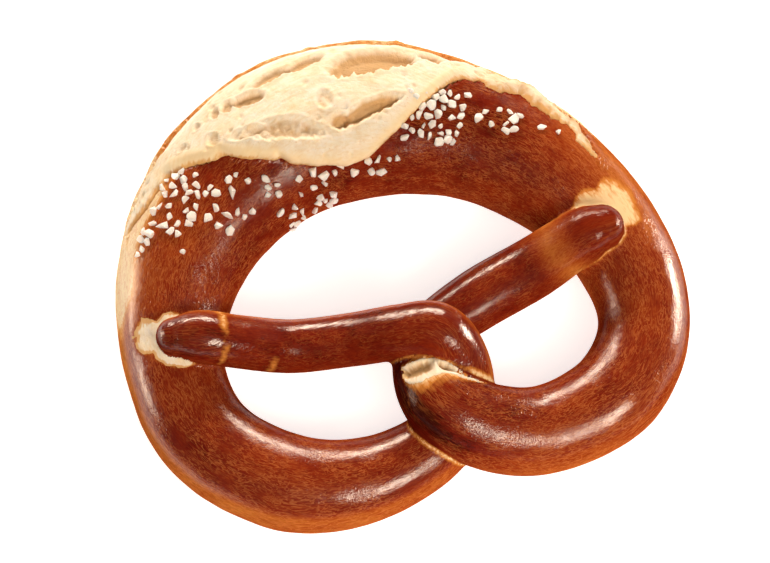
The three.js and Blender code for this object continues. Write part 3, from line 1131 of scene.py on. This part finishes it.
# %% Fine relief of the crust
def crust_relief(material, place):
    wrinkles = spots_of(material, place, 0.7, (0.8, 2.0, 2.0), 2, 0.8)
    pimples = spots_of(material, place, 0.35, (1, 1, 1), 2)
    dents = spots_of(material, place, 2.2, (1, 1, 1), 3)
    relief = two_of(material, wrinkles, 0.6, pimples, 0.4)
    creased = window_of(material, spots_of(material, place, 9, (1, 1, 1), 2), 0.4, 0.62, 0.4, 1.0)
    creased = maths(material, "MULTIPLY", creased, stored(material, "wrinkled"))
    fine = node(material, "Bump", {"Strength": creased, "Distance": 0.16 * MM, "Height": relief})
    broad = {"Strength": 0.25, "Distance": 0.2 * MM, "Height": dents, "Normal": fine.outputs[0]}
    return node(material, "Bump", broad).outputs[0]


# %% [markdown]
# The brown is matt underneath and has a thin shiny coat on top. The coat does what lye does: the gloss lies
# over the colour, and it is gone where the dough is bare, where it lay on the tray and on the dull spots.

# %% Crust
def crust_finish():
    material = new_material("lye crust")
    place = stored(material, "place", "Vector")
    blotches = spots_of(material, place, 4, (1.6, 1, 1), 3)
    surface, bare = crust_edges(material, place, crust_brown(material, place, blotches))
    relief = crust_relief(material, place)
    rough = maths(material, "MULTIPLY_ADD", blotches, 0.25, 0.25)
    rough = maths(material, "MULTIPLY_ADD", bare, 0.35, rough)
    dull = bare
    for layer in ("tray", "dull"):
        dull = maths(material, "MAXIMUM", dull, stored(material, layer))
    shader = node(
        material,
        "BsdfPrincipled",
        {
            "Base Color": surface,
            "Roughness": rough,
            "Normal": relief,
            "Coat Weight": maths(material, "SUBTRACT", 1.0, dull),
            "Specular IOR Level": 0.0,
            "Coat Roughness": 0.17,
            "Coat IOR": 1.65,
            "Coat Normal": relief,
            "Subsurface Weight": 0.05,
            "Subsurface Radius": (1.0, 0.35, 0.15),
            "Subsurface Scale": 1.2 * MM,
        },
    )
    return finish_with(material, shader)


# %% [markdown]
# ## The crumb
# Cream, with a warmer tone on the ledge, tan in the pockets, small darker pores and a golden line along
# the lips. The tan in the pockets is partly the crumb's own colour and partly painted shade, deeper where
# they are deeper. It is dull, and light goes a little way into it, which softens its shadows. Its pores and
# stretched threads are finer than the mesh, so they are left to bump.

# %% Crumb
CREAMS = [(0.3, colour(238, 214, 176)), (0.5, colour(249, 236, 214)), (0.7, colour(255, 249, 240))]


def crumb_colour(material, clouds, threads, pores, shade_and_tan, ledge):
    surface = ramp(material, two_of(material, threads, 0.5, clouds, 0.5), CREAMS)
    surface = blend(material, maths(material, "MULTIPLY", ledge, 0.6), surface, colour(252, 224, 168))
    # painted shade together with the crumb's own tan: pockets, bubbles and lens floors turn darker tan the
    # deeper they are
    surface = blend(material, maths(material, "MULTIPLY", shade_and_tan, 0.85), surface, colour(208, 164, 106))
    dots = window_of(material, pores, 0.36, 0.26)
    dots = maths(material, "MULTIPLY", dots, window_of(material, ledge, 0.8, 0.2))
    surface = blend(material, maths(material, "MULTIPLY", dots, 0.45), surface, colour(210, 168, 112))
    lip = varied(material, stored(material, "inner"), clouds, 1.6)
    lip = maths(material, "ADD", lip, maths(material, "MULTIPLY_ADD", threads, 2.0, -0.9))
    return blend(material, window_of(material, lip, 1.3, 0.2, 0, 0.85), surface, colour(226, 172, 98))


def crumb_finish():
    material = new_material("open crumb")
    place = stored(material, "place", "Vector")
    ledge = stored(material, "ledge")
    shade_and_tan = window_of(material, stored(material, "hollow"), 0.2, 2.2)
    clouds = spots_of(material, place, 5, (1.6, 1, 1), 3)
    threads = spots_of(material, place, 0.7, (3, 1, 1), 3, 0.4)
    pores = spots_of(material, place, 0.5, (1, 1, 1), 2)
    calm = window_of(material, ledge, 0.0, 1.0, 0.4, 0.1)
    strength = maths(material, "MULTIPLY_ADD", shade_and_tan, 0.5, calm)
    relief = two_of(material, threads, 0.6, pores, 0.4)
    bump = node(material, "Bump", {"Strength": strength, "Distance": 0.55 * MM, "Height": relief})
    shader = node(
        material,
        "BsdfPrincipled",
        {
            "Base Color": crumb_colour(material, clouds, threads, pores, shade_and_tan, ledge),
            "Roughness": 0.72,
            "Normal": bump.outputs[0],
            "Subsurface Weight": 0.2,
            "Subsurface Radius": (1.0, 0.8, 0.6),
            "Subsurface Scale": 1.5 * MM,
            "Specular IOR Level": 0.3,
        },
    )
    return finish_with(material, shader)


# %% [markdown]
# ## The salt
# White with a warm cast, cloudy inside, and glassy only on its broken faces.

# %% Salt
def salt_finish():
    material = new_material("coarse salt")
    place = node(material, "TexCoord", {}).outputs["Object"]
    place = node(material, "Mapping", {"Vector": place, "Scale": [1 / MM] * 3}).outputs["Vector"]
    cloudy = spots_of(material, place, 1.0, (1, 1, 1), 2)
    pitted = spots_of(material, place, 0.3, (1, 1, 1), 2)
    surface = ramp(material, cloudy, [(0.3, colour(255, 244, 240)), (0.65, colour(255, 253, 250))])
    bump = node(material, "Bump", {"Strength": 0.4, "Distance": 0.1 * MM, "Height": pitted})
    shader = node(
        material,
        "BsdfPrincipled",
        {
            "Base Color": surface,
            "Roughness": window_of(material, pitted, 0.3, 0.7, 0.2, 0.5),
            "Normal": bump.outputs[0],
            "Subsurface Weight": 0.8,
            "Subsurface Radius": (1.0, 0.85, 0.8),
            "Subsurface Scale": 1.2 * MM,
            "IOR": 1.54,
        },
    )
    return finish_with(material, shader)


# %% [markdown]
# ## Hand out the finishes
# Every piece rides on the pretzel's one body, and the dough stands for the ready made solid, which is then
# hidden. The three pieces of crumb share one material.

# %% Finish and place each piece
open_crumb = crumb_finish()
finishes = [(dough, crust_finish()), (salt, salt_finish())]
finishes += [(piece, open_crumb) for piece in (crumb, *patches)]
for piece, finish in finishes:
    piece.data.materials.clear()
    piece.data.materials.append(finish)
    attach(piece, "root")
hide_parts("pretzel")
print("finished:", ", ".join(piece.name for piece, _ in finishes))

# %% [markdown]
# ## Floor and camera
# The pretzel lies on a plain pale floor and is seen from steeply above, a little from its left. A long lens
# keeps the near and the far side in proportion. The floor glows a little, like a light table, so that it
# stays white and sends light up onto the flanks.

# %% Floor and camera
FLOOR_SIZE = 6.0
DISTANCE = 0.56  # from the camera to the pretzel
AZIMUTH, ELEVATION = -14.0, 70.0
LENS = 90
GLOW = 0.75  # light that the floor gives by itself
OFF_CENTRE = (-2.95, -2.75, 12.0)  # where the camera looks, from the middle of the solid's foot

foot = np.array([*(cad_low + cad_high)[:2] / 2, 0.0])
target = Vector((foot + OFF_CENTRE) * MM)


def direction(azimuth, elevation):
    """Unit vector towards a place seen at this azimuth, from the front towards the right, and height."""
    a, e = math.radians(azimuth), math.radians(elevation)
    return Vector((math.sin(a) * math.cos(e), -math.cos(a) * math.cos(e), math.sin(e)))


def aim(thing, azimuth, elevation, distance):
    way = direction(azimuth, elevation)
    thing.location = target + way * distance
    thing.rotation_euler = way.to_track_quat("Z", "Y").to_euler()


half_floor = FLOOR_SIZE / 2
floor_mesh = bpy.data.meshes.new("floor")
corners = [(x, y, 0) for x, y in ((-half_floor, -half_floor), (half_floor, -half_floor))]
corners += [(half_floor, half_floor, 0), (-half_floor, half_floor, 0)]
floor_mesh.from_pydata(corners, [], [(0, 1, 2, 3)])
floor = add_piece("floor", floor_mesh)
floor_material = new_material("pale floor")
paper = node(floor_material, "TexCoord", {}).outputs["Object"]
paper = node(floor_material, "TexNoise", {"Vector": paper, "Scale": 3.0}).outputs["Fac"]
paper = ramp(floor_material, paper, [(0.3, (0.84, 0.87, 0.9, 1)), (0.7, (0.86, 0.89, 0.92, 1))])
look = {"Base Color": paper, "Roughness": 0.9, "Emission Color": (1, 1, 1, 1), "Emission Strength": GLOW}
floor_mesh.materials.append(finish_with(floor_material, node(floor_material, "BsdfPrincipled", look)))

camera = bpy.data.objects.new("camera", bpy.data.cameras.new("camera"))
bpy.context.scene.collection.objects.link(camera)
camera.data.lens = LENS
aim(camera, AZIMUTH, ELEVATION, DISTANCE)
bpy.context.scene.camera = camera
bpy.context.scene.view_settings.view_transform = "Standard"

# %% [markdown]
# ## Light
# A shiny crust is lit by what it mirrors. A long soft light behind the pretzel draws highlights along the
# backs of the strands, and a smaller one in front draws a second line. Low strips at the sides are only
# there to be mirrored in the outer edges, so they light nothing else. A large fill in front does the
# opposite: it lights the brown, and the crust doesn't mirror it, because that would lie over the colour
# like a haze. All of them are warm. The room overhead stays dark, so that the brown keeps its depth.

# %% Lights
# name, azimuth, elevation, distance, width, height, power, is it mirrored, does it light the dough
LIGHTS = [
    ("back softbox", 173, 25, 0.9, 1.15, 0.15, 12.0, True, True),
    ("front softbox", 27, 41, 0.9, 0.34, 0.2, 3.6, True, True),
    ("left strip", -108, 11, 0.8, 0.4, 0.18, 2.4, True, False),
    ("right strip", 93, 7, 0.8, 0.3, 0.14, 5.0, True, False),
    ("front fill", 5, 55, 1.4, 1.6, 1.0, 12.0, False, True),
]
WARMTH = (1.0, 0.83, 0.65)
ROOM = [(0.0, 0.1), (0.3, 0.07), (0.6, 0.03), (1.0, 0.02)]  # brightness from the horizon to overhead

for name, azimuth, elevation, distance, wide, high, power, mirrored, lights_dough in LIGHTS:
    data = bpy.data.lights.new(name, "AREA")
    data.shape = "RECTANGLE"
    data.size, data.size_y = wide, high
    data.energy = power
    data.color = WARMTH
    light = bpy.data.objects.new(name, data)
    bpy.context.scene.collection.objects.link(light)
    light.visible_glossy = mirrored
    light.visible_diffuse = lights_dough
    aim(light, azimuth, elevation, distance)

world = bpy.data.worlds.new("room")
bpy.context.scene.world = world
world.use_nodes = True
tree = world.node_tree
tree.nodes.clear()
sky = tree.nodes.new("ShaderNodeTexCoord")
split = tree.nodes.new("ShaderNodeSeparateXYZ")
shade = tree.nodes.new("ShaderNodeValToRGB")
background = tree.nodes.new("ShaderNodeBackground")
output = tree.nodes.new("ShaderNodeOutputWorld")
while len(shade.color_ramp.elements) < len(ROOM):
    shade.color_ramp.elements.new(0.5)
for element, (position, grey) in zip(shade.color_ramp.elements, ROOM):
    element.position = position
    element.color = (grey, grey * WARMTH[1], grey * WARMTH[2], 1)
tree.links.new(sky.outputs["Generated"], split.inputs[0])
tree.links.new(split.outputs["Z"], shade.inputs["Fac"])
tree.links.new(shade.outputs["Color"], background.inputs["Color"])
tree.links.new(background.outputs[0], output.inputs["Surface"])
print(len(LIGHTS), "lights,", round(sum(row[6] for row in LIGHTS), 1), "watts together")
